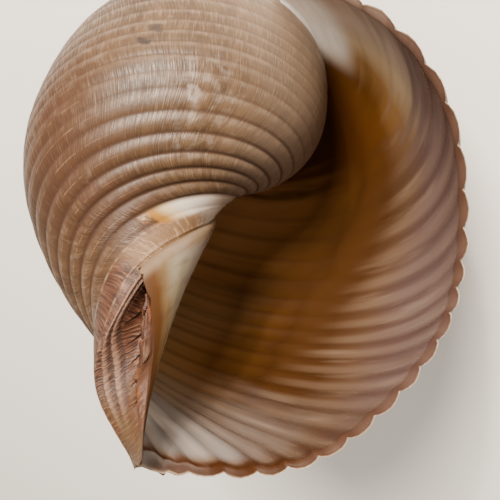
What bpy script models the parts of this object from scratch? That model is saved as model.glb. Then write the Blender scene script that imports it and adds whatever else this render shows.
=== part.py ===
# Tun shell: one thin wall of lime, grown as a tube that widens as it winds round an axis.
# The shell's own frame has the axis along Z, the apex at the origin and the siphonal end at -Z.
# A growth line is the shape of the lip at one time. Older growth lines are the same curve, smaller
# and turned back round the axis, so the whole shell follows from one lip curve and one growth rate.

import math

import bpy
import bmesh
import numpy as np
from mathutils import Matrix, Vector

MM = 0.001

# Driving dimensions
WHORL_GROWTH = 2.136       # how many times wider the shell gets in one turn
STEPS = 32                 # growth lines in one turn
WALL = 1.8                 # wall thickness at the lip, mm
RIB_HEIGHT = 1.6           # from the bottom of a groove to the top of a rib at the lip, mm
FASCIOLE_HEIGHT = 3.0      # how far the band of old siphonal notches stands out, mm
CHINK_DEPTH = 3.0          # depth of the groove between the columella and that band, mm
CHINK_SPAN = (0.04, 0.9)   # where that groove starts and ends, from 0 at the tip to 1 at its top
APEX_HEIGHT = 0.4          # height of the small dome that closes the first growth line, mm
SPIRE_TURNS = 4.4          # turns from the lip to the first growth line
HOLLOW_LINES = 48          # how many growth lines back from the lip the hollow goes
FINE_LINES = 24            # how many of them can be seen from outside

# The lip, as control points of a smooth curve, three ribs apart, from the suture over the outer
# lip and the siphonal end, then up the columella to the base of the whorl before. Each has its
# radius from the axis in mm, its height in mm, and its lag behind the line of growth in degrees.
RIBS_PER_POINT = 3
LIP = [
    (0, -38, -81),
    (35, -15.5, -74),
    (66, -42.5, -57),
    (80, -64, -38),
    (80, -92.5, -20),
    (79, -110, -15),
    (69.5, -128.5, -1),
    (48, -155, -7),
    (27.5, -156.5, 13),
    (11, -157.5, 85),
    (4.5, -162.5, 37),
    (3, -149.5, -31),
    (5.5, -129.5, -90),
    (13.5, -114, -124),
    (11.5, -112, -136),
    (2, -112.5, -146),
]
FIRST_RIB = 0.5            # ribs are counted from the suture
LAST_RIB = 21.5
TIP = 27                   # where the outer lip ends and the columella begins
TOP = 39                   # the columella's upper end
FASCIOLE_MIDDLE = 24.2
FASCIOLE_HALF_WIDTH = 2.6
THINNING = (24, 30)        # from the lip's wall to the columella's, the wall runs out to nothing
SLOPE_STEP = 0.05          # how far to each side the curve's direction is measured, in ribs

# Where each whorl meets the one before: its rib numbers there, and how many growth lines back.
# The wall's outer face meets it along SUTURE, its inner face along INSIDE_SUTURE, and the
# columella along BASE.
SUTURE = 4
INSIDE_SUTURE = 5
BASE = 23.5
SUTURE_BACK = STEPS - 2
BASE_BACK = STEPS - 17

# How the shell lies, on its back with the mouth up: spun on its axis, tipped back, then faced round
SPIN = math.radians(54)
TIP_BACK = math.radians(-149.6)
FACE_ROUND = math.radians(-106.6)
WORN = 0.6                 # how much the ribs that it rests on are worn flat, mm

SHELL_COLOUR = (0.30, 0.17, 0.09, 1.0)


def lip_curve(rib):
    """Radius, height and lag of the lip at a rib number, on a uniform cubic B-spline."""
    place = min(rib / RIBS_PER_POINT, len(LIP) - 3 - 1e-9)
    first = int(place)
    f = place - first
    weights = ((1 - f) ** 3, 3 * f ** 3 - 6 * f ** 2 + 4, -3 * f ** 3 + 3 * f ** 2 + 3 * f + 1, f ** 3)
    return np.array(weights) @ np.array(LIP[first:first + 4], dtype=float) / 6


def relief(rib):
    """Height of the outer face over the lip curve: ribs with grooves between, then the fasciole."""
    ribs = 0.0
    if FIRST_RIB <= rib <= LAST_RIB:
        ribs = RIB_HEIGHT * (0.5 - abs(math.cos(math.pi * rib)))
    across = (rib - FASCIOLE_MIDDLE) / FASCIOLE_HALF_WIDTH
    return ribs + FASCIOLE_HEIGHT * max(0.0, 1 - across ** 2) ** 2


def wall_depth(rib):
    """Depth of the inner face under the lip curve. It runs out to nothing on the columella."""
    ease = float(np.interp(rib, THINNING, (1, 0)))
    return WALL * ease * ease * (3 - 2 * ease)


def surface(line, rib, rise):
    """Point on a growth line at a rib number, `rise` mm outside the lip curve, in mm."""
    radius, height, lag = lip_curve(rib)
    run = (lip_curve(rib + SLOPE_STEP) - lip_curve(max(rib - SLOPE_STEP, 0.0)))[:2]
    dr, dz = run / np.hypot(*run)
    radius, height = radius - dz * rise, height + dr * rise
    size = WHORL_GROWTH ** (-line / STEPS)
    azimuth = 2 * math.pi * line / STEPS + math.radians(lag)
    return Vector((radius * math.cos(azimuth), radius * math.sin(azimuth), height)) * size


def fractions(row):
    """How far along a row of vertices each of them is, from 0 to 1."""
    steps = [0.0] + [(q.co - p.co).length for p, q in zip(row, row[1:])]
    return np.cumsum(steps) / max(sum(steps), 1e-9)


def zip_rows(bm, a, b):
    """Triangles between two rows of vertices, taking from each row in step with its length."""
    fa, fb = fractions(a), fractions(b)
    i = j = 0
    while i < len(a) - 1 or j < len(b) - 1:
        take_a = j == len(b) - 1 or (i < len(a) - 1 and fa[i + 1] <= fb[j + 1])
        corners = [a[i], b[j], a[i + 1] if take_a else b[j + 1]]
        if len(set(corners)) == 3:
            bm.faces.new(corners)
        i, j = (i + 1, j) if take_a else (i, j + 1)


def strip(bm, vertices, lines, first, last):
    """Faces of a band between two rib numbers, from the lip back over a number of growth lines."""
    def row(line):
        return [vertices[key] for key in sorted(vertices) if key[0] == line and first <= key[1] <= last]
    for line in range(lines):
        zip_rows(bm, row(line), row(line + 1))


def deep_edge(line):
    """Rib number down to which the hollow runs along the whorl inside it, at a growth line there."""
    ends = (HOLLOW_LINES + BASE_BACK, HOLLOW_LINES + SUTURE_BACK)
    return np.interp(line, ends, (BASE, INSIDE_SUTURE))


def outer_face(bm, ribs, deep_ribs, spire_lines):
    """Vertices of the outer face by growth line and rib, and its faces where nothing covers it."""
    outer = {}
    last_covered = HOLLOW_LINES + SUTURE_BACK
    for line in range(spire_lines, -1, -1):
        fine = line <= FINE_LINES + SUTURE_BACK
        for rib in ribs if fine else deep_ribs:
            on_body = line <= last_covered and rib <= deep_edge(line)
            if rib == 0 and line + SUTURE_BACK <= spire_lines:
                outer[line, rib] = outer[line + SUTURE_BACK, SUTURE]
            elif rib <= SUTURE or on_body or line <= BASE_BACK:
                outer[line, rib] = bm.verts.new(surface(line, rib, relief(rib) if fine or rib <= SUTURE else 0))
    strip(bm, outer, spire_lines, 0, SUTURE)
    strip(bm, outer, SUTURE_BACK, SUTURE, INSIDE_SUTURE)
    strip(bm, outer, HOLLOW_LINES + SUTURE_BACK, INSIDE_SUTURE, BASE)
    strip(bm, outer, BASE_BACK, BASE, TIP)
    return outer


def inner_face(bm, ribs, deep_ribs, outer):
    """Vertices and faces of the hollow's wall, from inside the suture round to the columella's top."""
    inner = {}
    for line in range(HOLLOW_LINES + 1):
        for rib in ribs if line <= FINE_LINES else deep_ribs:
            if rib == 0:
                inner[line, rib] = outer[line + SUTURE_BACK, INSIDE_SUTURE]
            elif rib == TOP:
                inner[line, rib] = outer[line + BASE_BACK, BASE]
            else:
                inner[line, rib] = bm.verts.new(surface(line, rib, -wall_depth(rib)))
    strip(bm, inner, HOLLOW_LINES, 0, TOP)
    return inner


def close_apex(bm, outer, ribs, spire_lines):
    """A small dome over the first growth line."""
    rim = [outer[line, 0] for line in range(spire_lines - SUTURE_BACK, spire_lines + 1)]
    rim += [outer[spire_lines, rib] for rib in ribs if 0 < rib < SUTURE]
    top = bm.verts.new((0, 0, max(v.co.z for v in rim) + APEX_HEIGHT))
    for a, b in zip(rim, rim[1:] + rim[:1]):
        bm.faces.new((a, b, top))


def close_columella(bm, outer, inner, outer_ribs, inner_ribs):
    """The side of the columella that faces away from the hollow, with a chink along its middle."""
    free_edge = [inner[0, rib] for rib in inner_ribs if rib >= TIP]
    free_edge += [outer[BASE_BACK, rib] for rib in outer_ribs if rib > BASE]
    fasciole_edge = [outer[line, TIP] for line in range(BASE_BACK + 1)]
    chink = []
    for part in np.linspace(*CHINK_SPAN, 12):
        middle = (point_along(free_edge, part) + point_along(fasciole_edge, part)) / 2
        depth = CHINK_DEPTH * part
        inward = Vector((-middle.x, -middle.y, 0)).normalized()
        chink.append(bm.verts.new(middle + inward * depth))
    zip_rows(bm, free_edge, chink)
    zip_rows(bm, chink, fasciole_edge)
    bm.faces.new((free_edge[0], chink[0], fasciole_edge[0]))


def point_along(row, part):
    """Point at a fraction of the length of a row of vertices."""
    at = fractions(row)
    return Vector([np.interp(part, at, [v.co[n] for v in row]) for n in range(3)])


def close_hollow(bm):
    """The hollow's deep end, far round the spire, is the last hole left in the mesh."""
    edge = [e for e in bm.edges if len(e.link_faces) == 1]
    bmesh.ops.triangle_fill(bm, use_beauty=True, use_dissolve=False, edges=edge)


def build_shell():
    bm = bmesh.new()
    half_ribs = [n / 2 for n in range(round(2 * LAST_RIB) + 1)]
    outer_ribs = half_ribs + [22.2, 22.9, BASE, 24.1, 24.8, 25.6, 26.3, TIP]
    deep_outer_ribs = half_ribs[:2 * SUTURE + 1] + [INSIDE_SUTURE, 7, 9.5, 12.5, 15.5, 18, 20, 22, BASE]
    inner_ribs = list(range(22)) + [22.5, 24, 25.5, TIP, 28, 29.5, 31, 32.5, 34, 35.5, 37, TOP]
    deep_inner_ribs = [0, 2, 4, 6, 8.5, 11, 13.5, 16, 18, 20, 22, 24, 25.5, TIP, 28.5, 31, 34, 36.5, TOP]
    spire_lines = round(SPIRE_TURNS * STEPS)
    outer = outer_face(bm, outer_ribs, deep_outer_ribs, spire_lines)
    inner = inner_face(bm, inner_ribs, deep_inner_ribs, outer)
    # The lip's rim, and the corner where the lip meets the whorl before
    lip_outside = [outer[0, rib] for rib in outer_ribs]
    lip_inside = [inner[0, rib] for rib in inner_ribs if rib <= TIP]
    zip_rows(bm, lip_outside, lip_inside)
    bm.faces.new([outer[SUTURE_BACK, rib] for rib in (SUTURE, SUTURE + 0.5, INSIDE_SUTURE)])
    close_apex(bm, outer, outer_ribs, spire_lines)
    close_columella(bm, outer, inner, outer_ribs, inner_ribs)
    close_hollow(bm)
    bmesh.ops.delete(bm, geom=[v for v in bm.verts if not v.link_faces], context='VERTS')
    bmesh.ops.recalc_face_normals(bm, faces=bm.faces)
    return bm


def lay_down(bm):
    """Turn the shell onto its back, wear its resting ribs flat and put the origin under its middle."""
    turn = Matrix.Rotation(FACE_ROUND, 4, 'Z') @ Matrix.Rotation(TIP_BACK, 4, 'X')
    turn = turn @ Matrix.Rotation(SPIN, 4, 'Z')
    bmesh.ops.transform(bm, matrix=turn, verts=bm.verts)
    floor = min(v.co.z for v in bm.verts) + WORN
    everything = bm.verts[:] + bm.edges[:] + bm.faces[:]
    cut = bmesh.ops.bisect_plane(bm, geom=everything, plane_co=(0, 0, floor), plane_no=(0, 0, -1),
                                 clear_outer=True)
    rim = [piece for piece in cut['geom_cut'] if isinstance(piece, bmesh.types.BMEdge)]
    bmesh.ops.edgeloop_fill(bm, edges=rim)
    bmesh.ops.triangulate(bm, faces=[f for f in bm.faces if len(f.verts) > 3])
    low = [min(v.co[n] for v in bm.verts) for n in range(3)]
    high = [max(v.co[n] for v in bm.verts) for n in range(3)]
    middle = Vector(((low[0] + high[0]) / 2, (low[1] + high[1]) / 2, floor))
    bmesh.ops.translate(bm, vec=-middle, verts=bm.verts)
    bmesh.ops.scale(bm, vec=(MM, MM, MM), verts=bm.verts)


def shell_material():
    material = bpy.data.materials.new("shell lime")
    material.use_nodes = True
    shader = material.node_tree.nodes["Principled BSDF"]
    shader.inputs["Base Color"].default_value = SHELL_COLOUR
    shader.inputs["Roughness"].default_value = 0.4
    shader.inputs["Metallic"].default_value = 0.0
    return material


for old in list(bpy.data.objects):
    bpy.data.objects.remove(old)

shell_mesh = bpy.data.meshes.new("shell")
bm = build_shell()
lay_down(bm)
bm.to_mesh(shell_mesh)
bm.free()
shell_mesh.shade_smooth()
shell_mesh.materials.append(shell_material())
bpy.context.scene.collection.objects.link(bpy.data.objects.new("shell", shell_mesh))
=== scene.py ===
"""A large ribbed tun shell lying on its back on a pale floor, with its mouth up.

The shell is one thin wall of lime. It grew along its lip, so the whole wall is one lip curve, carried
back round the axis and made smaller as it goes.
"""

import math

import bmesh
import bpy
import numpy as np
from mathutils import Matrix, Vector


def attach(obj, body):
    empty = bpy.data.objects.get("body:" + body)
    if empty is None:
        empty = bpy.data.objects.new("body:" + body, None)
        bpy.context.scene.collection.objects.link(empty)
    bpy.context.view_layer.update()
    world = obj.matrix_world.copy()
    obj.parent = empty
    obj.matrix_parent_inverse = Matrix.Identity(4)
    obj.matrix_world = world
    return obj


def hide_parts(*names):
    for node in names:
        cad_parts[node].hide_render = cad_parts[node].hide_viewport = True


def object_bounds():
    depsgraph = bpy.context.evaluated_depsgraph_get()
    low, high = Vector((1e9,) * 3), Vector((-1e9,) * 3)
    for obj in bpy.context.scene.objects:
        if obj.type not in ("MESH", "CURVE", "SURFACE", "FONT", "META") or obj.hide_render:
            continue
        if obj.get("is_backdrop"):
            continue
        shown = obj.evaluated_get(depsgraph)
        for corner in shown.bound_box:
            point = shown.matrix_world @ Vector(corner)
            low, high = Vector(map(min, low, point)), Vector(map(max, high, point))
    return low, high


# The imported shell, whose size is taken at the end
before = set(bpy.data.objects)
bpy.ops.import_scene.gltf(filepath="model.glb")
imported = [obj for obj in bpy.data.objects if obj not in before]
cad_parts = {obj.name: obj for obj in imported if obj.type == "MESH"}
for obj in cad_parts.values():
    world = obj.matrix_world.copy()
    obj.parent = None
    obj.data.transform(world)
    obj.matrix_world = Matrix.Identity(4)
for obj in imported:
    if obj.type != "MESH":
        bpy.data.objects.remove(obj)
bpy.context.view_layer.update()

# The wall of the shell: aragonite, a hard lime that the animal laid down in thin layers at the lip, line
# after line. It is about 2 mm thick, with ribs that run round the whorls and show inside as flutes.
# Geometry nodes carry a section of it back over the growth lines, smaller and turned back at each.
MM = 0.001
WHORL_GROWTH = 2.136       # how many times wider the shell gets in one turn
LINES = 96                 # growth lines in one turn
SUTURE_LINES = 90          # how far back a whorl meets the one before at the suture, in growth lines
BASE_LINES = 45            # and at the base of the columella
HOLLOW_LINES = 144         # how far back the hollow goes
SPIRE_LINES = 422          # how far back the first whorl is
SUTURE_RIB = 4             # rib number where the wall's outer face meets the whorl before
INSIDE_SUTURE_RIB = 5      # and its inner face
BASE_RIB = 23.5            # and the columella
LAST_RIB = 21.5            # where the last rib fades into the fasciole
TIP_RIB = 27               # the end of the siphonal notch, where the lip ends and the columella begins
TOP_RIB = 39               # the columella's upper end
WALL = 1.8                 # thickness, mm
LIP_EDGE = 0.35            # how far the lip's edge is rounded off, mm
BEVEL = 0.006              # the lip's inner bevel, in turns
SCALLOP = 0.10             # how far back the lip's full ribs fade into the worn ones behind, in turns
CHIP_LINES = 8             # how far behind a chip the growth lines bend with it
RIB_HEIGHT = 1.5           # mm
WORN_RIBS = 0.2            # how much of that is left of the upper ribs, which the sea has worn
SHARP_RIBS = (14, 18)      # where that wear starts to fade, and where none is left, in rib numbers
FLUTE_HEIGHT = 0.45        # mm
FASCIOLE_HEIGHT = 3.0      # mm
FASCIOLE_RIBS = (24.2, 2.6)    # the fasciole's middle and half its width, in rib numbers
RIPPLE = 0.35              # height of uneven growth, mm
RIPPLES = (34.0, 0.35, 1.0)    # how many to a turn and to a rib
RIPPLE_SEED = 3.0

# Control points of the lip, three ribs apart: radius from the axis and height in mm, and lag in degrees.
# The first ten go round the outer lip to the siphonal end, and the rest back up the columella.
LIP_POINTS = np.array([
    (0, -38, -81), (35, -15.5, -74), (66, -42.5, -57), (80, -64, -38), (80, -92.5, -20), (79, -110, -15),
    (69.5, -128.5, -1), (48, -155, -7), (27.5, -156.5, 13), (11, -157.5, 85), (4.5, -162.5, 37),
    (3, -149.5, -31), (5.5, -129.5, -90), (13.5, -114, -124), (11.5, -112, -136), (2, -112.5, -146)])
RIBS_PER_POINT = 3


def lip_curve(ribs):
    """Radius, height and lag of the lip at an array of rib numbers, on a uniform cubic B-spline."""
    place = np.minimum(ribs / RIBS_PER_POINT, len(LIP_POINTS) - 3 - 1e-9)
    first = place.astype(int)
    f = (place - first)[:, None]
    p = [LIP_POINTS[first + n] for n in range(4)]
    return ((1 - f) ** 3 * p[0] + (3 * f ** 3 - 6 * f ** 2 + 4) * p[1]
            + (-3 * f ** 3 + 3 * f ** 2 + 3 * f + 1) * p[2] + f ** 3 * p[3]) / 6


def ease(x, start, end):
    """A smooth step from 0 to 1 between two values."""
    f = np.clip((x - start) / (end - start), 0, 1)
    return f * f * (3 - 2 * f)


def bump(x, middle, width):
    """A smooth bump of height 1."""
    return np.exp(-((x - middle) / width) ** 2)


def outer_rise(ribs, worn=WORN_RIBS):
    """Height of the outer face: rounded ribs with grooves at whole rib numbers, then the fasciole."""
    amount = ease(ribs, 0, 1.5) * (1 - ease(ribs, LAST_RIB, LAST_RIB + 1.2))
    amount *= worn + (1 - worn) * ease(ribs, *SHARP_RIBS)
    rise = RIB_HEIGHT * amount * (np.abs(np.sin(np.pi * ribs)) ** 0.7 - 0.6)
    middle, reach = FASCIOLE_RIBS
    rise += FASCIOLE_HEIGHT * np.maximum(0, 1 - ((ribs - middle) / reach) ** 2) ** 2
    return rise


def inner_rise(ribs):
    """Height of the inner face, with a flute behind each rib and a ridge behind each groove.

    The flutes fade out at the suture and at the siphonal end. The columella has the lip curve's own height.
    """
    amount = ease(ribs, 2, 5) * (1 - ease(ribs, 22.5, 25))
    ridge = bump(ribs - np.round(ribs), 0, 0.22)
    flutes = FLUTE_HEIGHT * amount * (1 + ease(ribs, *SHARP_RIBS)) * ridge
    return -flutes - WALL * (1 - ease(ribs, 24, 30))


def add_object(name, mesh):
    """An object at the origin for a mesh."""
    ob = bpy.data.objects.new(name, mesh)
    bpy.context.scene.collection.objects.link(ob)
    return ob


def chain(name, places):
    """A row of vertices with an edge from each to the next."""
    mesh = bpy.data.meshes.new(name)
    mesh.from_pydata(places, [(n, n + 1) for n in range(len(places) - 1)], [])
    return add_object(name, mesh)


def section(name, ribs, lag_lines, **rises):
    """A section of the wall as a chain of vertices, with what the growth tree reads at each."""
    radius, height, lag = lip_curve(ribs).T
    step = 0.05
    run = (lip_curve(ribs + step) - lip_curve(np.maximum(ribs - step, 0)))[:, :2]
    run /= np.linalg.norm(run, axis=1)[:, None]
    lag = np.radians(lag)
    ob = chain(name, np.c_[radius * np.cos(lag), radius * np.sin(lag), height].tolist())
    for key, values in {"rib": ribs, "lag_turns": lag_lines / LINES, **rises}.items():
        ob.data.attributes.new(key, 'FLOAT', 'POINT').data.foreach_set("value", np.float32(values))
    outward = np.c_[-run[:, 1] * np.cos(lag), -run[:, 1] * np.sin(lag), run[:, 0]]
    layer = ob.data.attributes.new("outward", 'FLOAT_VECTOR', 'POINT')
    layer.data.foreach_set("vector", np.float32(outward).ravel())
    return ob


def paint(code):
    """A colour given in sRGB hex, as the linear values that a shader works in."""
    parts = [int(code[n:n + 2], 16) / 255 for n in (0, 2, 4)]
    return (*(p / 12.92 if p <= 0.04045 else ((p + 0.055) / 1.055) ** 2.4 for p in parts), 1.0)


def add_node(tree, kind, *inputs, output=0, stops=(), **settings):
    """Add a node with its settings and colour stops, feed its inputs in order, and return an output."""
    node = tree.nodes.new(kind)
    for name, value in settings.items():
        setattr(node, name, value)
    for n, (place, code) in enumerate(stops):
        stop = node.color_ramp.elements[n] if n < 2 else node.color_ramp.elements.new(place)
        stop.position, stop.color = place, paint(code)
    for socket, value in zip([s for s in node.inputs if s.enabled], inputs):
        if isinstance(value, bpy.types.NodeSocket):
            tree.links.new(value, socket)
        elif value is not None:
            socket.default_value = value
    return node.outputs[output]


# The fasciole is part of the same wall. It is the band of old siphonal notches: it swells near the base,
# and carries thin ridges, two beaded cords with a groove below each, and overlapping lobes of old growth.
FASCIOLE_SWELL = 10.0      # how much more the fasciole stands out near the base, mm
SWELL_RIBS = (23.9, 3.1)   # middle and half the width of that swelling, in rib numbers
SWELL_TURNS = (0.02, 0.30, 0.34, 0.465)    # where it starts, is full, starts to fade and has faded
DRIFT = 1.2                # how many ribs the ridges and cords are shifted near the lip,
DRIFT_TURNS = (0.25, 0.45)     # in full before the first, and not at all after the second
DRIFT_RIBS = (21.0, 24.0)      # and growing from nothing to its full size between these ribs
RIDGES = (22.0, 23.05)
RIDGE_HEIGHT = 0.6         # mm
RIDGE_REACH = 0.16         # half the width, in ribs
CORDS = (23.83, 24.4)
CORD_HEIGHT = 0.8          # mm
CORD_REACH = 0.3           # half the width, and how far below a cord its groove is, in ribs
CORD_TURNS = (0.08, 0.22)  # where the cords start, and where they are in full
GROOVE_DEPTH = 0.6         # in cord heights
GROOVE_REACH = 0.22
BEADS = 58.0               # to a turn, along the cords
BEAD_HEIGHT = 0.3          # in cord heights
LOBE_HEIGHT = 3.2          # mm
LOBE_RIBS = (26.2, 1.7)    # middle and half the width of the row of lobes, in rib numbers
LOBES = 17.0               # to a turn,
LOBE_SLANT = 0.45          # and how much further on each is at the next rib, in lobes
LOBE_CURVE = 1.5           # how hollow the slope is that leads up to each lobe's edge
LOBE_TURNS = (0.10, 0.18, 0.38, 0.44)      # where they start, are full, start to fade and have faded

# The tree: a grid with a column of vertices for each growth line and a row for each station of the section
wall_tree = bpy.data.node_groups.new("Grow shell wall", 'GeometryNodeTree')
for name, kind in (("Geometry", "Geometry"), ("Growth lines", "Object"), ("Growth in one turn", "Float"),
                   ("Bevel length", "Float"), ("Ripple height", "Float"), ("Seed", "Float"),
                   ("Beads in one turn", "Float"), ("Inner face", "Float"), ("Material", "Material")):
    wall_tree.interface.new_socket(name, in_out='INPUT', socket_type="NodeSocket" + kind)
wall_tree.interface.new_socket("Geometry", in_out='OUTPUT', socket_type="NodeSocketGeometry")
given = wall_tree.nodes.new("NodeGroupInput").outputs
lines = add_node(wall_tree, "GeometryNodeObjectInfo", given["Growth lines"], output="Geometry")
station_count = add_node(wall_tree, "GeometryNodeAttributeDomainSize", given["Geometry"])
row_count = add_node(wall_tree, "GeometryNodeAttributeDomainSize", lines)
wall = add_node(wall_tree, "GeometryNodeMeshGrid", 1.0, 1.0, station_count, row_count)
index = add_node(wall_tree, "GeometryNodeInputIndex")
station = add_node(wall_tree, "ShaderNodeMath", index, 0.5, operation='ADD')
station = add_node(wall_tree, "ShaderNodeMath", station, row_count, operation='DIVIDE')
station = add_node(wall_tree, "ShaderNodeMath", station, operation='FLOOR')
row = add_node(wall_tree, "ShaderNodeMath", station, row_count, operation='MULTIPLY')
row = add_node(wall_tree, "ShaderNodeMath", index, row, operation='SUBTRACT')
at = {}
for name in ("rib", "lag_turns", "rise_at_lip", "rise_behind", "swell", "chip", "outward"):
    kind = 'FLOAT_VECTOR' if name == "outward" else 'FLOAT'
    value = add_node(wall_tree, "GeometryNodeInputNamedAttribute", name, data_type=kind)
    at[name] = add_node(wall_tree, "GeometryNodeSampleIndex", given["Geometry"], value, station,
                        data_type=kind)
place = add_node(wall_tree, "GeometryNodeInputPosition")
base = add_node(wall_tree, "GeometryNodeSampleIndex", given["Geometry"], place, station,
                data_type='FLOAT_VECTOR')
row_place = add_node(wall_tree, "GeometryNodeSampleIndex", lines, place, row, data_type='FLOAT_VECTOR')
turns = add_node(wall_tree, "ShaderNodeSeparateXYZ", row_place)
turns = add_node(wall_tree, "ShaderNodeMath", turns, at["lag_turns"], operation='ADD')
# A chip takes the lip's edge back, and the lines close behind it with it
near_lip = add_node(wall_tree, "ShaderNodeMapRange", turns, 0.0, CHIP_LINES / LINES, 1.0, 0.0,
                    interpolation_type='SMOOTHSTEP')
chipped = add_node(wall_tree, "ShaderNodeMath", near_lip, at["chip"], operation='MULTIPLY')
grown = add_node(wall_tree, "ShaderNodeMath", turns, chipped, operation='ADD')
# How far the face stands out: full at the lip, worn or bevelled behind it, swollen at the fasciole, uneven
behind = add_node(wall_tree, "ShaderNodeMapRange", turns, 0.0, given["Bevel length"], 0.0, 1.0,
                  interpolation_type='SMOOTHSTEP')
rise = add_node(wall_tree, "ShaderNodeMix", behind, at["rise_at_lip"], at["rise_behind"])
start, full, fade, end = SWELL_TURNS
swell = add_node(wall_tree, "ShaderNodeMapRange", turns, start, full, 0.0, 1.0,
                 interpolation_type='SMOOTHSTEP')
swell = add_node(wall_tree, "ShaderNodeMath", swell, at["swell"], operation='MULTIPLY')
faded = add_node(wall_tree, "ShaderNodeMapRange", turns, fade, end, 1.0, 0.0,
                 interpolation_type='SMOOTHSTEP')
rise = add_node(wall_tree, "ShaderNodeMath", swell, faded, rise, operation='MULTIPLY_ADD')
uneven = add_node(wall_tree, "ShaderNodeCombineXYZ", turns, at["rib"], given["Seed"])
uneven = add_node(wall_tree, "ShaderNodeVectorMath", uneven, RIPPLES, operation='MULTIPLY')
uneven = add_node(wall_tree, "ShaderNodeTexNoise", uneven, 1.0, 2.0, noise_dimensions='3D')
uneven = add_node(wall_tree, "ShaderNodeMath", uneven, 0.5, operation='SUBTRACT')
rise = add_node(wall_tree, "ShaderNodeMath", uneven, given["Ripple height"], rise, operation='MULTIPLY_ADD')
# The fasciole's ridges, its beaded cords with a groove below each, and its lobes drift across the ribs
outside = add_node(wall_tree, "ShaderNodeMath", 1.0, given["Inner face"], operation='SUBTRACT')
drift = add_node(wall_tree, "ShaderNodeMapRange", turns, *DRIFT_TURNS, DRIFT, 0.0,
                 interpolation_type='SMOOTHSTEP')
share = add_node(wall_tree, "ShaderNodeMapRange", at["rib"], *DRIFT_RIBS, 0.0, 1.0)
drift = add_node(wall_tree, "ShaderNodeMath", drift, share, operation='MULTIPLY')
drift = add_node(wall_tree, "ShaderNodeMath", drift, outside, operation='MULTIPLY')
rib = add_node(wall_tree, "ShaderNodeMath", at["rib"], drift, operation='SUBTRACT')
beads = add_node(wall_tree, "ShaderNodeMath", turns, given["Beads in one turn"], operation='MULTIPLY')
beads = add_node(wall_tree, "ShaderNodeMath", beads, 2 * math.pi, operation='MULTIPLY')
beads = add_node(wall_tree, "ShaderNodeMath", beads, operation='SINE')
beads = add_node(wall_tree, "ShaderNodeMath", beads, BEAD_HEIGHT, 1.0, operation='MULTIPLY_ADD')
cord_height = add_node(wall_tree, "ShaderNodeMapRange", turns, *CORD_TURNS, 0.0, CORD_HEIGHT,
                       interpolation_type='SMOOTHSTEP')
beads = add_node(wall_tree, "ShaderNodeMath", beads, cord_height, operation='MULTIPLY')
groove = add_node(wall_tree, "ShaderNodeMath", cord_height, -GROOVE_DEPTH, operation='MULTIPLY')
marks = [(ridge, RIDGE_REACH, RIDGE_HEIGHT) for ridge in RIDGES]
marks += [(cord, CORD_REACH, beads) for cord in CORDS]
marks += [(cord + CORD_REACH, GROOVE_REACH, groove) for cord in CORDS]
lobes = add_node(wall_tree, "ShaderNodeMath", turns, -LOBES, operation='MULTIPLY')
lobes = add_node(wall_tree, "ShaderNodeMath", rib, LOBE_SLANT, lobes, operation='MULTIPLY_ADD')
lobes = add_node(wall_tree, "ShaderNodeMath", lobes, operation='FRACT')
lobes = add_node(wall_tree, "ShaderNodeMath", lobes, LOBE_CURVE, operation='POWER')
start, full, fade, end = LOBE_TURNS
lobe_height = add_node(wall_tree, "ShaderNodeMapRange", turns, start, full, 0.0, LOBE_HEIGHT,
                       interpolation_type='SMOOTHSTEP')
lobes = add_node(wall_tree, "ShaderNodeMath", lobes, lobe_height, operation='MULTIPLY')
faded = add_node(wall_tree, "ShaderNodeMapRange", turns, fade, end, 1.0, 0.0,
                 interpolation_type='SMOOTHSTEP')
lobes = add_node(wall_tree, "ShaderNodeMath", lobes, faded, operation='MULTIPLY')
marks.append((*LOBE_RIBS, lobes))
for middle, reach, height in marks:
    off = add_node(wall_tree, "ShaderNodeMath", rib, middle, operation='SUBTRACT')
    off = add_node(wall_tree, "ShaderNodeMath", off, operation='ABSOLUTE')
    on_mark = add_node(wall_tree, "ShaderNodeMapRange", off, 0.0, reach, 1.0, 0.0,
                       interpolation_type='SMOOTHSTEP')
    on_mark = add_node(wall_tree, "ShaderNodeMath", on_mark, outside, operation='MULTIPLY')
    rise = add_node(wall_tree, "ShaderNodeMath", on_mark, height, rise, operation='MULTIPLY_ADD')
# Each vertex goes to its station, out by its rise, then back round the axis and smaller by its turns
spot = add_node(wall_tree, "ShaderNodeVectorMath", at["outward"], rise, operation='SCALE')
spot = add_node(wall_tree, "ShaderNodeVectorMath", base, spot, operation='ADD')
angle = add_node(wall_tree, "ShaderNodeMath", grown, 2 * math.pi, operation='MULTIPLY')
spot = add_node(wall_tree, "ShaderNodeVectorRotate", spot, None, angle, rotation_type='Z_AXIS')
size = add_node(wall_tree, "ShaderNodeMath", grown, -1.0, operation='MULTIPLY')
size = add_node(wall_tree, "ShaderNodeMath", given["Growth in one turn"], size, operation='POWER')
spot = add_node(wall_tree, "ShaderNodeVectorMath", spot, size, operation='SCALE')
wall = add_node(wall_tree, "GeometryNodeSetPosition", wall, True, spot)
for name, value in (("rib", rib), ("turns", turns)):
    wall = add_node(wall_tree, "GeometryNodeStoreNamedAttribute", wall, True, name, value,
                    data_type='FLOAT')
wall = add_node(wall_tree, "GeometryNodeSetShadeSmooth", wall)
wall = add_node(wall_tree, "GeometryNodeRealizeInstances", wall)
wall = add_node(wall_tree, "GeometryNodeSetMaterial", wall, True, given["Material"])
wall_tree.links.new(wall, wall_tree.nodes.new("NodeGroupOutput").inputs[0])
inputs = [item for item in wall_tree.interface.items_tree if item.in_out == 'INPUT']
socket_of = {item.name: item.identifier for item in inputs}

# The materials of the wall's two faces. Their colours and finish are set further down.
outside_lime = bpy.data.materials.new("weathered aragonite")
inside_lime = bpy.data.materials.new("glazed aragonite")

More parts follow.
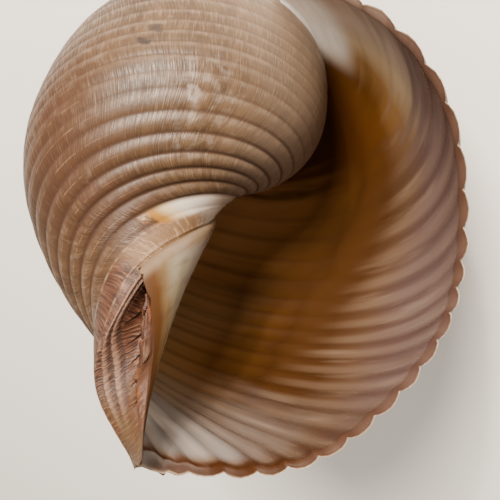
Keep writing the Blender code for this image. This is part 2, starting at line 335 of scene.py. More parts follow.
# The lip's edge is a little wavy, is cut back at the siphonal notch, and is broken at a few places. The
# depths are in turns, and the places and widths in ribs.
EDGE_WAVE = 0.0006
EDGE_WAVES = ((5.1, 0), (13.7, 1), (2.3, 2))   # how fast each wave goes along the ribs, and its start
NOTCH_DEPTH = 0.022
NOTCH_RIBS = (22.3, 23.6, 25, 26.4)    # where the notch starts, is full, starts to fade and has faded
BREAKS = ((0.008, 22.55, 0.12), (0.010, 37.2, 0.25), (0.007, 36.2, 0.2), (0.008, 34.6, 0.25))


def chips(ribs):
    """How far the lip's edge is chipped back at each rib number, in turns."""
    wavy = EDGE_WAVE * (sum(np.sin(rate * ribs + begin) for rate, begin in EDGE_WAVES) + 1.5)
    start, full, fade, end = NOTCH_RIBS
    notch = NOTCH_DEPTH * ease(ribs, start, full) * (1 - ease(ribs, fade, end))
    broken = sum(depth * bump(ribs, middle, width) for depth, middle, width in BREAKS)
    return (wavy + notch + broken) * ease(ribs, 0, 1) * (1 - ease(ribs, TOP_RIB - 1, TOP_RIB))


def grow(name, ribs, rise_at_lip, rise_behind, lag_lines, growth_lines, inner, material):
    """One sheet of the wall: its places, rib numbers and turns by station and growth line."""
    middle, reach = SWELL_RIBS
    swell = FASCIOLE_SWELL * np.maximum(0, 1 - ((ribs - middle) / reach) ** 2) ** 2 * (1 - inner)
    ob = section(name, ribs, lag_lines, rise_at_lip=rise_at_lip, rise_behind=rise_behind, swell=swell,
                 chip=chips(ribs))
    lines = chain(name + " growth lines", [(line / LINES, 0, 0) for line in growth_lines])
    growth = ob.modifiers.new("Grow", 'NODES')
    growth.node_group = wall_tree
    for key, value in {"Growth lines": lines, "Growth in one turn": WHORL_GROWTH,
                       "Bevel length": BEVEL if inner else SCALLOP, "Ripple height": RIPPLE,
                       "Seed": RIPPLE_SEED, "Beads in one turn": BEADS, "Inner face": float(inner),
                       "Material": material}.items():
        growth[socket_of[key]] = value
    sheet = bpy.data.meshes.new_from_object(ob.evaluated_get(bpy.context.evaluated_depsgraph_get()))
    shape = (len(ribs), len(growth_lines))
    place = np.zeros(len(sheet.vertices) * 3)
    sheet.vertices.foreach_get("co", place)
    grown = {"place": place.reshape(*shape, 3), "inner": inner}
    for key in ("rib", "turns"):
        values = np.zeros(len(sheet.vertices))
        sheet.attributes[key].data.foreach_get("value", values)
        grown[key] = values.reshape(shape)
    bpy.data.meshes.remove(sheet)
    for spent in (ob, lines):
        bpy.data.objects.remove(spent)
    return grown


# How many stations there are to a rib in the whorl's last ribs and by the notch, and how many over the
# whole fasciole and over the columella
RIDGE_STATIONS, NOTCH_STATIONS, FASCIOLE_STATIONS, COLUMELLA_STATIONS = 15, 12, 49, 61
BASE_GAP = 0.05            # left between the whorl and the fasciole, in ribs, and closed below


def stations(first, last, in_rib=(0, 0.1, 0.28, 0.5, 0.72, 0.9)):
    """Rib numbers from one to another, closer together at the grooves."""
    ribs = (np.arange(int(first), int(last) + 1)[:, None] + np.array(in_rib)).ravel()
    return np.r_[first, ribs[(ribs > first + 0.02) & (ribs < last - 0.02)], last]


# Growth lines, with a few more close behind the lip, and the same few wherever a whorl meets another
all_lines = np.array(sorted(set(range(SPIRE_LINES + 1)) | {
    start + line for start in range(0, SPIRE_LINES, BASE_LINES) for line in (0.1, 0.25, 0.45, 0.7)}))
fine_lines = np.array(sorted(set(np.arange(0, BASE_LINES + 0.1, 0.25)) | {0.1}))
outer_sheets = {}
for name, first, last, lines in (
        ("spire", 0, SUTURE_RIB, all_lines),
        ("suture", SUTURE_RIB, INSIDE_SUTURE_RIB, all_lines[all_lines <= SUTURE_LINES]),
        ("whorl", INSIDE_SUTURE_RIB, BASE_RIB, all_lines[all_lines <= SUTURE_LINES + HOLLOW_LINES]),
        ("fasciole", BASE_RIB + BASE_GAP, TIP_RIB, fine_lines)):
    ribs = stations(first, last)
    if name == "fasciole":
        ribs = np.linspace(first, last, FASCIOLE_STATIONS)
    if name == "whorl":
        fine_from = RIDGES[0] - 0.3
        ribs = np.r_[ribs[ribs < fine_from], np.arange(fine_from, last - 0.02, 1 / RIDGE_STATIONS), last]
    lag = np.zeros(len(ribs))
    if name == "spire":
        ribs[0], lag[0] = SUTURE_RIB, SUTURE_LINES
    outer_sheets[name] = grow(name, ribs, outer_rise(ribs, 1) - LIP_EDGE, outer_rise(ribs), lag, lines,
                              False, outside_lime)

# The inner face goes on past the siphonal end and up the columella. Deep inside, it meets the outer face of
# the whorl before along both its borders.
ribs = np.r_[stations(0, BASE_RIB),
             stations(BASE_RIB + BASE_GAP, TIP_RIB, np.arange(NOTCH_STATIONS) / NOTCH_STATIONS),
             np.linspace(TIP_RIB, TOP_RIB, COLUMELLA_STATIONS)[1:]]
rise = inner_rise(ribs)
rise_at_lip = np.where(ribs > TIP_RIB, rise, outer_rise(ribs, 1) - LIP_EDGE)
lag = np.zeros(len(ribs))
ribs[0], lag[0] = INSIDE_SUTURE_RIB, SUTURE_LINES
ribs[-1], lag[-1] = BASE_RIB, BASE_LINES
rise[[0, -1]] = outer_rise(ribs[[0, -1]])
deep_lines = all_lines[(all_lines <= BASE_LINES * 2) | ((all_lines <= HOLLOW_LINES) & (all_lines % 2 == 0))]
hollow = grow("hollow", ribs, rise_at_lip, rise, lag, deep_lines, True, inside_lime)

# The back of the columella: the side of the twisted pillar that faces away from the mouth. Rough scales
# of old growth close it, and a deep chink runs between its free edge and the fasciole's cords.
CHINK_DEPTH = (2.4, 3.5)   # low down and at its upper end, mm
CHINK_TOP = (0.6, 0.85)    # where it gets deeper, as parts of the pillar's length
SCALE_HEIGHT = 3.0         # mm
SCALES = 9
SCALE_LEAN = 0.12          # how far a scale leans over the strip's width, as part of its length
BACK_RIBS = (33, 27)       # rib numbers at its two edges, for its colours
ALONG, ACROSS = 150, 22


def part_along(row):
    """How far along a row of points each one is, as a part of the row's length."""
    steps = np.r_[0, np.cumsum(np.linalg.norm(np.diff(row, axis=0), axis=1))]
    return steps / steps[-1]


def points_along(row, parts):
    """Points at the given parts of the length of a row of points."""
    return np.stack([np.interp(parts, part_along(row), row[:, n]) for n in range(3)], 1)


fasciole = outer_sheets["fasciole"]
columella_start = int(np.argmin(np.abs(hollow["rib"][:, 0] - TIP_RIB)))
base_row = int(np.argmin(np.abs(fasciole["turns"][0] - BASE_LINES / LINES)))
free_edge = np.r_[hollow["place"][columella_start:, 0], fasciole["place"][:, base_row]]
cord_edge = fasciole["place"][-1, :base_row + 1]
along = np.linspace(0, 1, ALONG + 2)[1:-1]
across = np.linspace(0, 1, ACROSS + 2)[1:-1]
a = points_along(free_edge, along)[None]
b = points_along(cord_edge, along)[None]
v = across[:, None, None]
u = along[None, :, None]
inward = -(a + b) * (1, 1, 0)
inward /= np.linalg.norm(inward, axis=2)[..., None]
scale_at = (u + SCALE_LEAN * v + 0.05 * np.sin(4 * v)) * SCALES
scale_rise = SCALE_HEIGHT * ((scale_at % 1) ** 2 - 0.4) * np.sin(np.pi * v) ** 1.3 * ease(u, 0.2, 0.45)
low, high = CHINK_DEPTH
depth = (low + (high - low) * ease(u, *CHINK_TOP)) * ease(u, 0, 0.3) * (1 - ease(u, 0.94, 1))
depth = depth * np.sin(np.pi * np.minimum(v * 1.35, 1))
back_place = a * (1 - v) + b * v + inward * (depth - scale_rise)
start, end = BACK_RIBS
back = {"place": back_place, "inner": False,
        "rib": np.broadcast_to(start + (end - start) * v[..., 0], (ACROSS, ALONG)),
        "turns": np.broadcast_to((u + SCALE_LEAN * v)[..., 0] * BASE_LINES / LINES, (ACROSS, ALONG))}

# The whole shell as one mesh: the wall's sheets, which meet at their borders, with the narrow gaps beside
# the fasciole and the columella's back closed. A real shell has no seams there either.
all_sheets = {**outer_sheets, "hollow": hollow, "back": back}
sheets = list(all_sheets.values())
offsets = np.cumsum([0] + [s["rib"].size for s in sheets])
places = np.concatenate([s["place"].reshape(-1, 3) for s in sheets])
faces, face_inner = [], []
number = {}
for (name, sheet), offset in zip(all_sheets.items(), offsets):
    n = offset + np.arange(sheet["rib"].size).reshape(sheet["rib"].shape)
    number[name] = n
    quads = np.stack([n[:-1, :-1], n[:-1, 1:], n[1:, 1:], n[1:, :-1]], -1).reshape(-1, 4)
    faces += quads.tolist()
    face_inner += [sheet["inner"]] * len(quads)


def zip_rows(a, b):
    """Triangles between two rows of vertices, taking from each row in step with its length."""
    along_a, along_b = part_along(places[a]), part_along(places[b])
    i = j = 0
    while i < len(a) - 1 or j < len(b) - 1:
        take_a = j == len(b) - 1 or (i < len(a) - 1 and along_a[i + 1] <= along_b[j + 1])
        faces.append([int(a[i]), int(b[j]), int(a[i + 1] if take_a else b[j + 1])])
        face_inner.append(False)
        i, j = (i + 1, j) if take_a else (i, j + 1)


zip_rows(number["whorl"][-1, :int(np.searchsorted(all_lines, BASE_LINES)) + 1], number["fasciole"][0])
free_row = np.r_[number["hollow"][columella_start:, 0], number["fasciole"][:, base_row]]
zip_rows(free_row, number["back"][0])
zip_rows(number["back"][-1], number["fasciole"][-1, :base_row + 1])

shell_mesh = bpy.data.meshes.new("shell_wall")
shell_mesh.from_pydata(places.tolist(), [], faces)
for key in ("rib", "turns"):
    values = np.concatenate([s[key].ravel() for s in sheets])
    shell_mesh.attributes.new(key, 'FLOAT', 'POINT').data.foreach_set("value", np.float32(values))
shell_mesh.polygons.foreach_set("material_index", np.int32(face_inner))
shell_mesh.materials.append(outside_lime)
shell_mesh.materials.append(inside_lime)
shell_mesh.shade_smooth()

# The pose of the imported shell: spun on its axis, tipped onto its back and faced round, with the apex here.
# Vertices that meet are merged, and the shell stands on the floor.
APEX = Vector((48.075, -6.184, -0.335))    # mm
pose = Matrix.Translation(APEX) @ Matrix.Rotation(math.radians(-106.6), 4, 'Z')
pose = pose @ Matrix.Rotation(math.radians(-149.6), 4, 'X') @ Matrix.Rotation(math.radians(54), 4, 'Z')
pose = Matrix.Scale(MM, 4) @ pose
bm = bmesh.new()
bm.from_mesh(shell_mesh)
bmesh.ops.transform(bm, matrix=pose, verts=bm.verts)
bmesh.ops.remove_doubles(bm, verts=bm.verts, dist=0.002 * MM)
# Faces close the first whorl's tip, the deep end of the hollow and the ends of the columella's back
ends = bmesh.ops.holes_fill(bm, edges=[edge for edge in bm.edges if edge.is_boundary], sides=0)["faces"]
max(ends, key=lambda face: face.calc_area()).material_index = 1
apex_face = min(ends, key=lambda face: (face.calc_center_median() - APEX * MM).length)
bmesh.ops.poke(bm, faces=[apex_face], offset=0.4 * MM)
bmesh.ops.recalc_face_normals(bm, faces=bm.faces)
if bm.calc_volume(signed=True) < 0:
    bmesh.ops.reverse_faces(bm, faces=bm.faces)
for v in bm.verts:
    v.co.z = max(v.co.z, 0)
bm.to_mesh(shell_mesh)
bm.free()
shell = add_object("shell_wall", shell_mesh)
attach(shell, "root")
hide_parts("shell")


def growth_grain(tree, to_a_turn, to_a_rib, detail=3.0, seed=0.0, slant=0.0):
    """Noise along the growth lines: so many grains to a turn and to a rib, and turns of slant to a rib."""
    turns = add_node(tree, "ShaderNodeAttribute", attribute_name="turns", output="Fac")
    ribs = add_node(tree, "ShaderNodeAttribute", attribute_name="rib", output="Fac")
    turns = add_node(tree, "ShaderNodeMath", ribs, slant, turns, operation='MULTIPLY_ADD')
    along = add_node(tree, "ShaderNodeCombineXYZ", turns, ribs, 1.0)
    along = add_node(tree, "ShaderNodeVectorMath", along, (to_a_turn, to_a_rib, seed), operation='MULTIPLY')
    return add_node(tree, "ShaderNodeTexNoise", along, 1.0, detail, noise_dimensions='3D')


def mark(tree, value, *steps):
    """How strong a mark is along a value: smooth steps (start, end, before, after), multiplied together."""
    strength = 1.0
    for step in steps:
        part = add_node(tree, "ShaderNodeMapRange", value, *step, interpolation_type='SMOOTHSTEP')
        strength = add_node(tree, "ShaderNodeMath", part, strength, operation='MULTIPLY')
    return strength


def off_line(tree, value, line):
    """Distance of a value from a line that runs round the shell."""
    away = add_node(tree, "ShaderNodeMath", value, line, operation='SUBTRACT')
    return add_node(tree, "ShaderNodeMath", away, operation='ABSOLUTE')


def lay(tree, colour, coats):
    """Lay coats over a colour: each is a hex colour or a socket, with strengths to multiply together."""
    for over, *strengths in coats:
        amount = strengths[0]
        for strength in strengths[1:]:
            amount = add_node(tree, "ShaderNodeMath", amount, strength, operation='MULTIPLY')
        over = paint(over) if isinstance(over, str) else over
        colour = add_node(tree, "ShaderNodeMix", amount, colour, over, data_type='RGBA', output=2)
    return colour


# Outside: bare aragonite whose skin the sea has worn off. It is brown, with paler growth lines across the
# ribs and the low gloss of a finely lined surface, with painted shade in the grooves low down and painted
# light on the ribs. The body whorl is some 350 mm round, so its growth lines are about 0.55 mm apart: a
# little coarser than real ones, so that they show.
GROWTH_LINES = 620.0       # to a turn
GROWTH_BANDS = 55.0        # to a turn, so about 6 mm apart
WEAR_MARKS = 80.0          # to a turn, so about 4 mm apart
PATCHES = 45.0             # to a metre, so 22 mm across
SPECKS = 600.0             # to a metre, so 1.7 mm across
LINING_HEIGHT = 0.3        # mm, for the growth lines and scales that are too fine for the mesh
SLANT = 0.006              # of the growth lines, in turns to a rib
TURN_IN_RIBS = 63          # one turn of the body whorl is as long as so many ribs are wide
outside_lime.use_nodes = True
tree = outside_lime.node_tree
finish = tree.nodes["Principled BSDF"]
turns = add_node(tree, "ShaderNodeAttribute", attribute_name="turns", output="Fac")
ribs = add_node(tree, "ShaderNodeAttribute", attribute_name="rib", output="Fac")
object_place = add_node(tree, "ShaderNodeTexCoord", output="Object")
groove_off = add_node(tree, "ShaderNodeMath", ribs, 0.5, operation='PINGPONG')
down_rib = add_node(tree, "ShaderNodeMath", ribs, operation='FRACT')
ribbed = mark(tree, ribs, (21.3, 21.9, 1.0, 0.0))
low_ribs = mark(tree, ribs, (13.5, 17.5, 0.22, 1.0))
striae = growth_grain(tree, GROWTH_LINES, 0.9, 3.0, 0.0, SLANT)
bands = growth_grain(tree, GROWTH_BANDS, 0.2, 3.0, 5.0, SLANT)
wear = growth_grain(tree, WEAR_MARKS, 1.5, 3.0, 9.0, SLANT)
patches = add_node(tree, "ShaderNodeTexNoise", object_place, PATCHES, 4.0, noise_dimensions='3D')
specks = add_node(tree, "ShaderNodeTexNoise", object_place, SPECKS, 2.0, noise_dimensions='3D')
clouds = add_node(tree, "ShaderNodeMath", bands, 0.5, 0.0, operation='MULTIPLY_ADD')
clouds = add_node(tree, "ShaderNodeMath", patches, 0.5, clouds, operation='MULTIPLY_ADD')
colour = add_node(tree, "ShaderNodeValToRGB", clouds, stops=(
    (0.36, "362413"), (0.46, "422e1b"), (0.55, "4e3822"), (0.66, "5a422c")))
worn_spot = mark(tree, patches, (0.45, 0.62, 0.0, 1.0))
colour = lay(tree, colour, (
    # Painted light: pink-grey on the upper flank of each rib, the side that faces the light, patchy with the
    # wear marks
    ("665241", mark(tree, down_rib, (0.03, 0.14, 0.0, 1.0), (0.28, 0.52, 1.0, 0.0)), ribbed,
     mark(tree, wear, (0.35, 0.65, 0.2, 0.8))),
    # Darker brown over the left of the dome, up to turn 0.72: partly a browner tone and partly painted shade
    # on that side
    ("3f2411", mark(tree, turns, (0.60, 0.72, 0.8, 0.0), (0.46, 0.58, 0.35, 1.0))),
    # Painted highlight: a thin pale line along each rib's crest over the left of the dome, in the paler
    # growth bands
    ("86694c", mark(tree, groove_off, (0.46, 0.49, 0.0, 0.5)), ribbed,
     mark(tree, turns, (0.58, 0.68, 1.0, 0.1)), mark(tree, bands, (0.40, 0.6, 0.05, 1.0))),
    ("75604e", mark(tree, wear, (0.52, 0.75, 0.0, 0.5)), worn_spot),
    ("866e55", mark(tree, striae, (0.50, 0.75, 0.0, 0.40)), mark(tree, turns, (0.60, 0.72, 0.55, 1.0))),
    ("2f1b0a", mark(tree, striae, (0.25, 0.50, 0.5, 0.0))),
    # Paler grey over the right of the dome, from turn 0.76: partly a greyer tone and partly painted light
    # where the key light falls off
    ("7d6a59", mark(tree, turns, (0.76, 0.90, 0.0, 0.5))),
    ("9c8f83", mark(tree, turns, (0.70, 0.74, 0.0, 1.0), (0.77, 0.81, 1.0, 0.0)),
     mark(tree, ribs, (12.5, 13.5, 0.0, 1.0), (17.5, 19.0, 1.0, 0.0)),
     mark(tree, wear, (0.42, 0.75, 0.0, 0.25))),
    # Painted shade in the grooves between the ribs, faint on the upper ribs and full low down
    ("3a2417", mark(tree, groove_off, (0.01, 0.17, 0.85, 0.0)), ribbed, low_ribs)))
# Two dark specks and a pale ring: where each is in turns and ribs, half its width in ribs, its colour, and
# how strong that is in the middle, which is low for the ring. The fine specks make the edges ragged.
SPECK_MIDDLE = 0.3         # in ribs, a little more than the fine specks add to the distance on average
flat = add_node(tree, "ShaderNodeMath", turns, TURN_IN_RIBS, operation='MULTIPLY')
flat = add_node(tree, "ShaderNodeCombineXYZ", flat, ribs)
for at_turn, at_rib, reach, shade, middle in (
        (0.716, 11.92, 0.4, "1e130e", 1.0), (0.733, 10.83, 0.5, "33261d", 1.0),
        (0.745, 15.17, 0.5, "84756a", 0.2)):
    off = add_node(tree, "ShaderNodeVectorMath", flat, (at_turn * TURN_IN_RIBS, at_rib, 0),
                   operation='DISTANCE', output="Value")
    off = add_node(tree, "ShaderNodeMath", specks, 0.5, off, operation='MULTIPLY_ADD')
    rim, edge = SPECK_MIDDLE + reach / 2, SPECK_MIDDLE + reach
    strength = mark(tree, off, (SPECK_MIDDLE, rim, middle, 0.8), (rim, edge, 1.0, 0.0))
    colour = lay(tree, colour, ((shade, strength),))

# The fasciole and the columella's back are redder, and lined across with the edges of old growth. One turn
# is about 60 mm long there, so these lines are 0.3 mm apart and the broad scales are 1 mm apart.
FASCIOLE_LINES = 200.0     # to a turn
BROAD_SCALES = 60.0        # to a turn
fasciole_part = mark(tree, ribs, (21.7, 22.4, 0.0, 1.0))
lines_across = growth_grain(tree, FASCIOLE_LINES, 0.8, 4.0, 2.0)
broad_scales = growth_grain(tree, BROAD_SCALES, 0.5, 2.0, 7.0)
fasciole_colour = add_node(tree, "ShaderNodeValToRGB", lines_across, stops=(
    (0.34, "2a1610"), (0.46, "3f2519"), (0.56, "4e2f1e"), (0.70, "70503b")))
tan_band = mark(tree, turns, (0.44, 0.50, 0.0, 1.0))
colour = lay(tree, colour, (
    (fasciole_colour, fasciole_part),
    ("54361f", fasciole_part, mark(tree, turns, (0.18, 0.30, 0.3, 0.0))),
    ("836547", fasciole_part, tan_band, 0.65),
    ("a88f70", fasciole_part, tan_band,
     mark(tree, broad_scales, (0.55, 0.60, 0.0, 0.45), (0.60, 0.64, 1.0, 0.0))),
    ("6b6440", fasciole_part, mark(tree, patches, (0.52, 0.66, 0.0, 0.2))),
    ("94502a", fasciole_part, mark(tree, broad_scales, (0.36, 0.42, 0.3, 0.0)),
     mark(tree, ribs, (26.5, 27.5, 0.0, 1.0)))))
corded = mark(tree, turns, (*CORD_TURNS, 0.0, 1.0))
for cord in CORDS:
    on_cord = mark(tree, off_line(tree, ribs, cord), (0.05, 0.18, 0.85, 0.0))
    # The cords are pinkish, and the groove below each is darkened with painted shade
    groove_shade = mark(tree, off_line(tree, ribs, cord + 0.28), (0.02, 0.15, 0.8, 0.0))
    colour = lay(tree, colour, (("735848", on_cord, corded), ("33211c", groove_shade, corded)))
for ridge in RIDGES:
    on_ridge = mark(tree, off_line(tree, ribs, ridge), (0.01, 0.09, 0.4, 0.0))
    colour = lay(tree, colour, (("9c8468", on_ridge, mark(tree, broad_scales, (0.42, 0.6, 0.1, 1.0)),
                                 mark(tree, turns, (0.6, 0.64, 1.0, 0.0))),))
colour = lay(tree, colour, (
    # Painted shade deep in the chink of the columella's back, towards its upper end
    ("2e1b14", mark(tree, ribs, (28.5, 31.0, 0.0, 0.5)), mark(tree, turns, (0.35, 0.42, 0.0, 1.0))),
    ("3a1f0c", mark(tree, ribs, (31.2, 31.8, 0.0, 0.9)), mark(tree, turns, (0.12, 0.2, 0.0, 1.0)))))

# Callus: a white glaze over the whorl above the columella, ochre where it thins out, and at the suture too
callus = add_node(tree, "ShaderNodeMath", mark(tree, ribs, (21.9, 22.3, 1.0, 0.0)),
                  mark(tree, turns, (0.66, 0.77, 0.0, 1.0)), operation='MAXIMUM')
upper_edge = mark(tree, ribs, (20.95, 21.25, 0.0, 1.0))
callus = add_node(tree, "ShaderNodeMath", callus, upper_edge, operation='MULTIPLY')
ragged = add_node(tree, "ShaderNodeMath", wear, 0.12, turns, operation='MULTIPLY_ADD')
outer_edge = mark(tree, ragged, (0.625, 0.665, 0.0, 1.0))
callus = add_node(tree, "ShaderNodeMath", callus, outer_edge, operation='MULTIPLY')
upper_ribs = mark(tree, ribs, (4.6, 6.4, 1.0, 0.0))
by_the_lip = mark(tree, turns, (0.93, 0.95, 0.0, 1.0), (1.01, 1.05, 1.0, 0.0))
at_suture = add_node(tree, "ShaderNodeMath", upper_ribs, by_the_lip, operation='MULTIPLY')
callus = add_node(tree, "ShaderNodeMath", callus, at_suture, operation='MAXIMUM')
callus_colour = add_node(tree, "ShaderNodeValToRGB", turns, stops=(
    (0.58, "7a4e18"), (0.61, "8f652a"), (0.635, "b7a07c"), (0.67, "c0b4a6"), (0.74, "b2a498"),
    (0.80, "8f7f72")))
colour = lay(tree, colour, ((callus_colour, callus),))
tree.links.new(colour, finish.inputs["Base Color"])

# The glaze is smooth. The bare lime is rougher, and its fine lines and scales stand a little proud.
rough = mark(tree, striae, (0.3, 0.7, 0.58, 0.34))
rough = add_node(tree, "ShaderNodeMix", callus, rough, 0.2)
tree.links.new(rough, finish.inputs["Roughness"])
lining = add_node(tree, "ShaderNodeMath", striae, 0.55, 0.0, operation='MULTIPLY_ADD')
lining = add_node(tree, "ShaderNodeMath", specks, 0.15, lining, operation='MULTIPLY_ADD')
scaly = add_node(tree, "ShaderNodeMath", lines_across, fasciole_part, operation='MULTIPLY')
lining = add_node(tree, "ShaderNodeMath", scaly, 1.6, lining, operation='MULTIPLY_ADD')
bare = mark(tree, callus, (0.0, 1.0, 1.0, 0.08))
lining = add_node(tree, "ShaderNodeMath", lining, bare, operation='MULTIPLY')
finish.inputs["Specular IOR Level"].default_value = 0.35
raised = add_node(tree, "ShaderNodeBump", 1.0, LINING_HEIGHT * MM, None, lining)
tree.links.new(raised, finish.inputs["Normal"])

# Inside: aragonite glazed by the animal's mantle, so it is glossy. It is mauve near the lip, amber behind
# that, and dark further in, with a pale siphonal end and a cream columella. Painted shade darkens the ridges
# between the flutes and, over its own brown, the deep corner by the suture; painted light pales the flutes
# near the lip and lifts part of the shadow deep inside. The clouds in its colour are some 40 mm long.
inside_lime.use_nodes = True
tree = inside_lime.node_tree
finish = tree.nodes["Principled BSDF"]
turns = add_node(tree, "ShaderNodeAttribute", attribute_name="turns", output="Fac")
ribs = add_node(tree, "ShaderNodeAttribute", attribute_name="rib", output="Fac")
groove_off = add_node(tree, "ShaderNodeMath", ribs, 0.5, operation='PINGPONG')
wander = growth_grain(tree, 9.0, 0.4, 2.0)
cloudy = growth_grain(tree, 10.0, 2.2, 3.0, 4.0)
# How far in the colours change wanders a little, and is less towards the columella
wandered = add_node(tree, "ShaderNodeMath", wander, 0.05, turns, operation='MULTIPLY_ADD')
wandered = add_node(tree, "ShaderNodeMath", wandered, 0.025, operation='SUBTRACT')
nearer = mark(tree, ribs, (8.0, 22.0, 0.0, 0.08), (23.0, 27.0, 1.0, 0.0))
wandered = add_node(tree, "ShaderNodeMath", wandered, nearer, operation='ADD')
doubled = add_node(tree, "ShaderNodeMath", wandered, 2.0, operation='MULTIPLY')
whorl_colour = add_node(tree, "ShaderNodeValToRGB", doubled, stops=(
    (0.0, "5a453e"), (0.04, "625150"), (0.16, "574542"), (0.25, "4e392a"), (0.31, "3b2410"),
    (0.37, "3b230d"), (0.39, "37200b"), (0.46, "563616"), (0.52, "86592c"), (0.62, "a0713f"),
    (1.0, "93602c")))
low_colour = add_node(tree, "ShaderNodeValToRGB", doubled, stops=(
    (0.10, "2e1b12"), (0.20, "4a362a"), (0.27, "574a43"), (0.36, "5f534c"), (0.44, "665950"),
    (0.55, "7a6753"), (0.8, "8c7660")))
# The corner by the suture: its own pale mauve at the lip, then brown that stays dark further in, partly
# painted shade deep in the corner
corner_colour_and_shade = add_node(tree, "ShaderNodeValToRGB", doubled, stops=(
    (0.0, "a88f80"), (0.08, "b9a494"), (0.15, "b09878"), (0.21, "7c5a34"), (0.28, "50300f"),
    (0.38, "3c2008"), (0.6, "41220a")))
pillar_colour = add_node(tree, "ShaderNodeValToRGB", doubled, stops=(
    (0.0, "3a2006"), (0.06, "43270a"), (0.14, "5f4a2c"), (0.2, "726853"), (0.36, "7c7269"),
    (0.6, "766b62")))
spread = add_node(tree, "ShaderNodeMath", cloudy, 3.0, ribs, operation='MULTIPLY_ADD')
off_pillar = mark(tree, ribs, (25.0, 27.0, 1.0, 0.0))
near_lip = mark(tree, turns, (0.12, 0.17, 1.0, 0.0))
near_lip = add_node(tree, "ShaderNodeMath", near_lip, off_pillar, operation='MULTIPLY')
fluted = mark(tree, ribs, (3.5, 6.0, 0.0, 1.0), (23.0, 24.5, 1.0, 0.0))
pillar = mark(tree, ribs, (27.3, 29.5, 0.0, 1.0))
colour = lay(tree, whorl_colour, (
    (low_colour, mark(tree, spread, (16.0, 20.0, 0.0, 1.0))),
    # The corner by the suture, with painted shade deep in it
    (corner_colour_and_shade, mark(tree, spread, (4.1, 6.2, 1.0, 0.0))),
    ("e0d8ce", mark(tree, ribs, (0.8, 1.7, 1.0, 0.0)), mark(tree, turns, (0.09, 0.15, 1.0, 0.0))),
    ("75706e", mark(tree, ribs, (19.0, 21.0, 0.0, 0.9)), mark(tree, turns, (0.015, 0.045, 0.0, 1.0))),
    ("98928d", mark(tree, ribs, (20.5, 21.5, 0.0, 0.9)), mark(tree, turns, (0.08, 0.12, 0.0, 1.0))),
    # Painted light: a lighter brown on the inner wall between ribs 8 and 18, from turn 0.21 on, that lifts
    # the shadow falling there
    ("9a754a", mark(tree, ribs, (8.0, 12.0, 0.0, 0.7), (15.5, 18.0, 1.0, 0.0)),
     mark(tree, turns, (0.21, 0.27, 0.0, 1.0))),
    (pillar_colour, pillar),
    ("6e5a46", pillar, mark(tree, ribs, (35.5, 36.4, 0.0, 0.9))),
    ("a08a74", mark(tree, cloudy, (0.5, 0.72, 0.0, 0.18)), near_lip),
    ("3d2410", mark(tree, cloudy, (0.28, 0.5, 0.28, 0.0))),
    # Painted light in the middle of the flutes near the lip, and painted shade along the ridges between them
    ("a88f78", mark(tree, groove_off, (0.15, 0.42, 0.0, 0.12)), fluted, near_lip),
    ("38200e", mark(tree, groove_off, (0.0, 0.24, 0.3, 0.0)), fluted),
    ("412a1e", mark(tree, turns, (0.004, 0.012, 0.75, 0.0)), mark(tree, ribs, (26.0, 27.0, 1.0, 0.0))),
    ("331a08", mark(tree, turns, (0.010, 0.024, 0.95, 0.0)),
     mark(tree, ribs, (17.5, 19.5, 0.0, 1.0), (24.5, 25.5, 1.0, 0.0)),
     mark(tree, cloudy, (0.3, 0.6, 0.5, 1.0))),
    ("a58d74", mark(tree, turns, (0.0, 0.0018, 0.8, 0.0)), mark(tree, ribs, (26.0, 27.0, 1.0, 0.0)))))
tree.links.new(colour, finish.inputs["Base Color"])
# The columella's outer strip has lost its gloss
worn_strip = mark(tree, turns, (0.03, 0.07, 0.35, 0.0))
dull = add_node(tree, "ShaderNodeMath", worn_strip, pillar, operation='MULTIPLY')
rough = add_node(tree, "ShaderNodeMath", dull, 0.25, operation='ADD')
tree.links.new(rough, finish.inputs["Roughness"])
gloss = add_node(tree, "ShaderNodeMath", 0.5, dull, operation='SUBTRACT')
tree.links.new(gloss, finish.inputs["Specular IOR Level"])

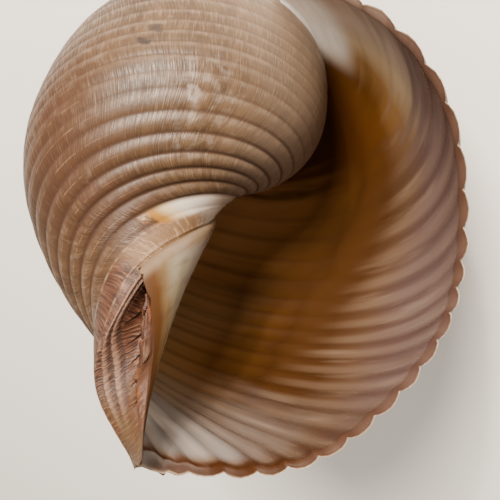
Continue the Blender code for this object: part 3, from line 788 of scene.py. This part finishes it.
# The floor, the light and the camera: a pale painted board, a soft room light, a key from the upper left,
# and a small lamp beside it that puts the tight highlights on the ribs
floor_mesh = bpy.data.meshes.new("floor")
floor_mesh.from_pydata([(-3, -3, 0), (3, -3, 0), (3, 3, 0), (-3, 3, 0)], [], [(0, 1, 2, 3)])
floor = add_object("floor", floor_mesh)
floor_paint = bpy.data.materials.new("pale painted board")
floor_paint.use_nodes = True
floor_finish = floor_paint.node_tree.nodes["Principled BSDF"]
floor_finish.inputs["Base Color"].default_value = paint("f4efe7")
floor_finish.inputs["Roughness"].default_value = 0.6
floor_mesh.materials.append(floor_paint)
floor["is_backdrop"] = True

world = bpy.data.worlds.new("room")
bpy.context.scene.world = world
world.use_nodes = True
world.node_tree.nodes["Background"].inputs["Color"].default_value = paint("fff8ee")
world.node_tree.nodes["Background"].inputs["Strength"].default_value = 0.70

# The camera stands where the photograph was taken from, given in the frame that the lip curve is in
turn = pose.to_3x3().normalized()
eye = pose @ Vector((9.314, -183.06, -210.19))
forward = turn @ Vector((0.0532658, 0.84259517, 0.53590684))
up = turn @ Vector((-0.22478946, -0.51277675, 0.82857088))
right = forward.cross(up)
camera_data = bpy.data.cameras.new("camera")
camera_data.sensor_width = 36
camera_data.lens = 54.08
camera_data.clip_start = 0.01
camera = bpy.data.objects.new("camera", camera_data)
camera.matrix_world = Matrix((
    (right.x, up.x, -forward.x, eye.x), (right.y, up.y, -forward.y, eye.y),
    (right.z, up.z, -forward.z, eye.z), (0, 0, 0, 1)))
bpy.context.scene.collection.objects.link(camera)
bpy.context.scene.camera = camera

LIGHT_DISTANCE = 1.0
SHELL_MIDDLE = Vector((0, 0, 0.06))
for name, size, watts, toward in (("key", 0.4, 35, -0.30 * right + 0.36 * up - 0.88 * forward),
                                  ("lamp", 0.05, 6, -0.25 * right + 0.50 * up - 0.83 * forward)):
    light = bpy.data.lights.new(name, 'AREA')
    light.shape = 'DISK'
    light.size = size
    light.energy = watts
    light.color = paint("fff3e4")[:3]
    holder = bpy.data.objects.new(name, light)
    toward.normalize()
    holder.location = SHELL_MIDDLE + toward * LIGHT_DISTANCE
    holder.rotation_euler = toward.to_track_quat('Z', 'Y').to_euler()
    bpy.context.scene.collection.objects.link(holder)

low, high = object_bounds()
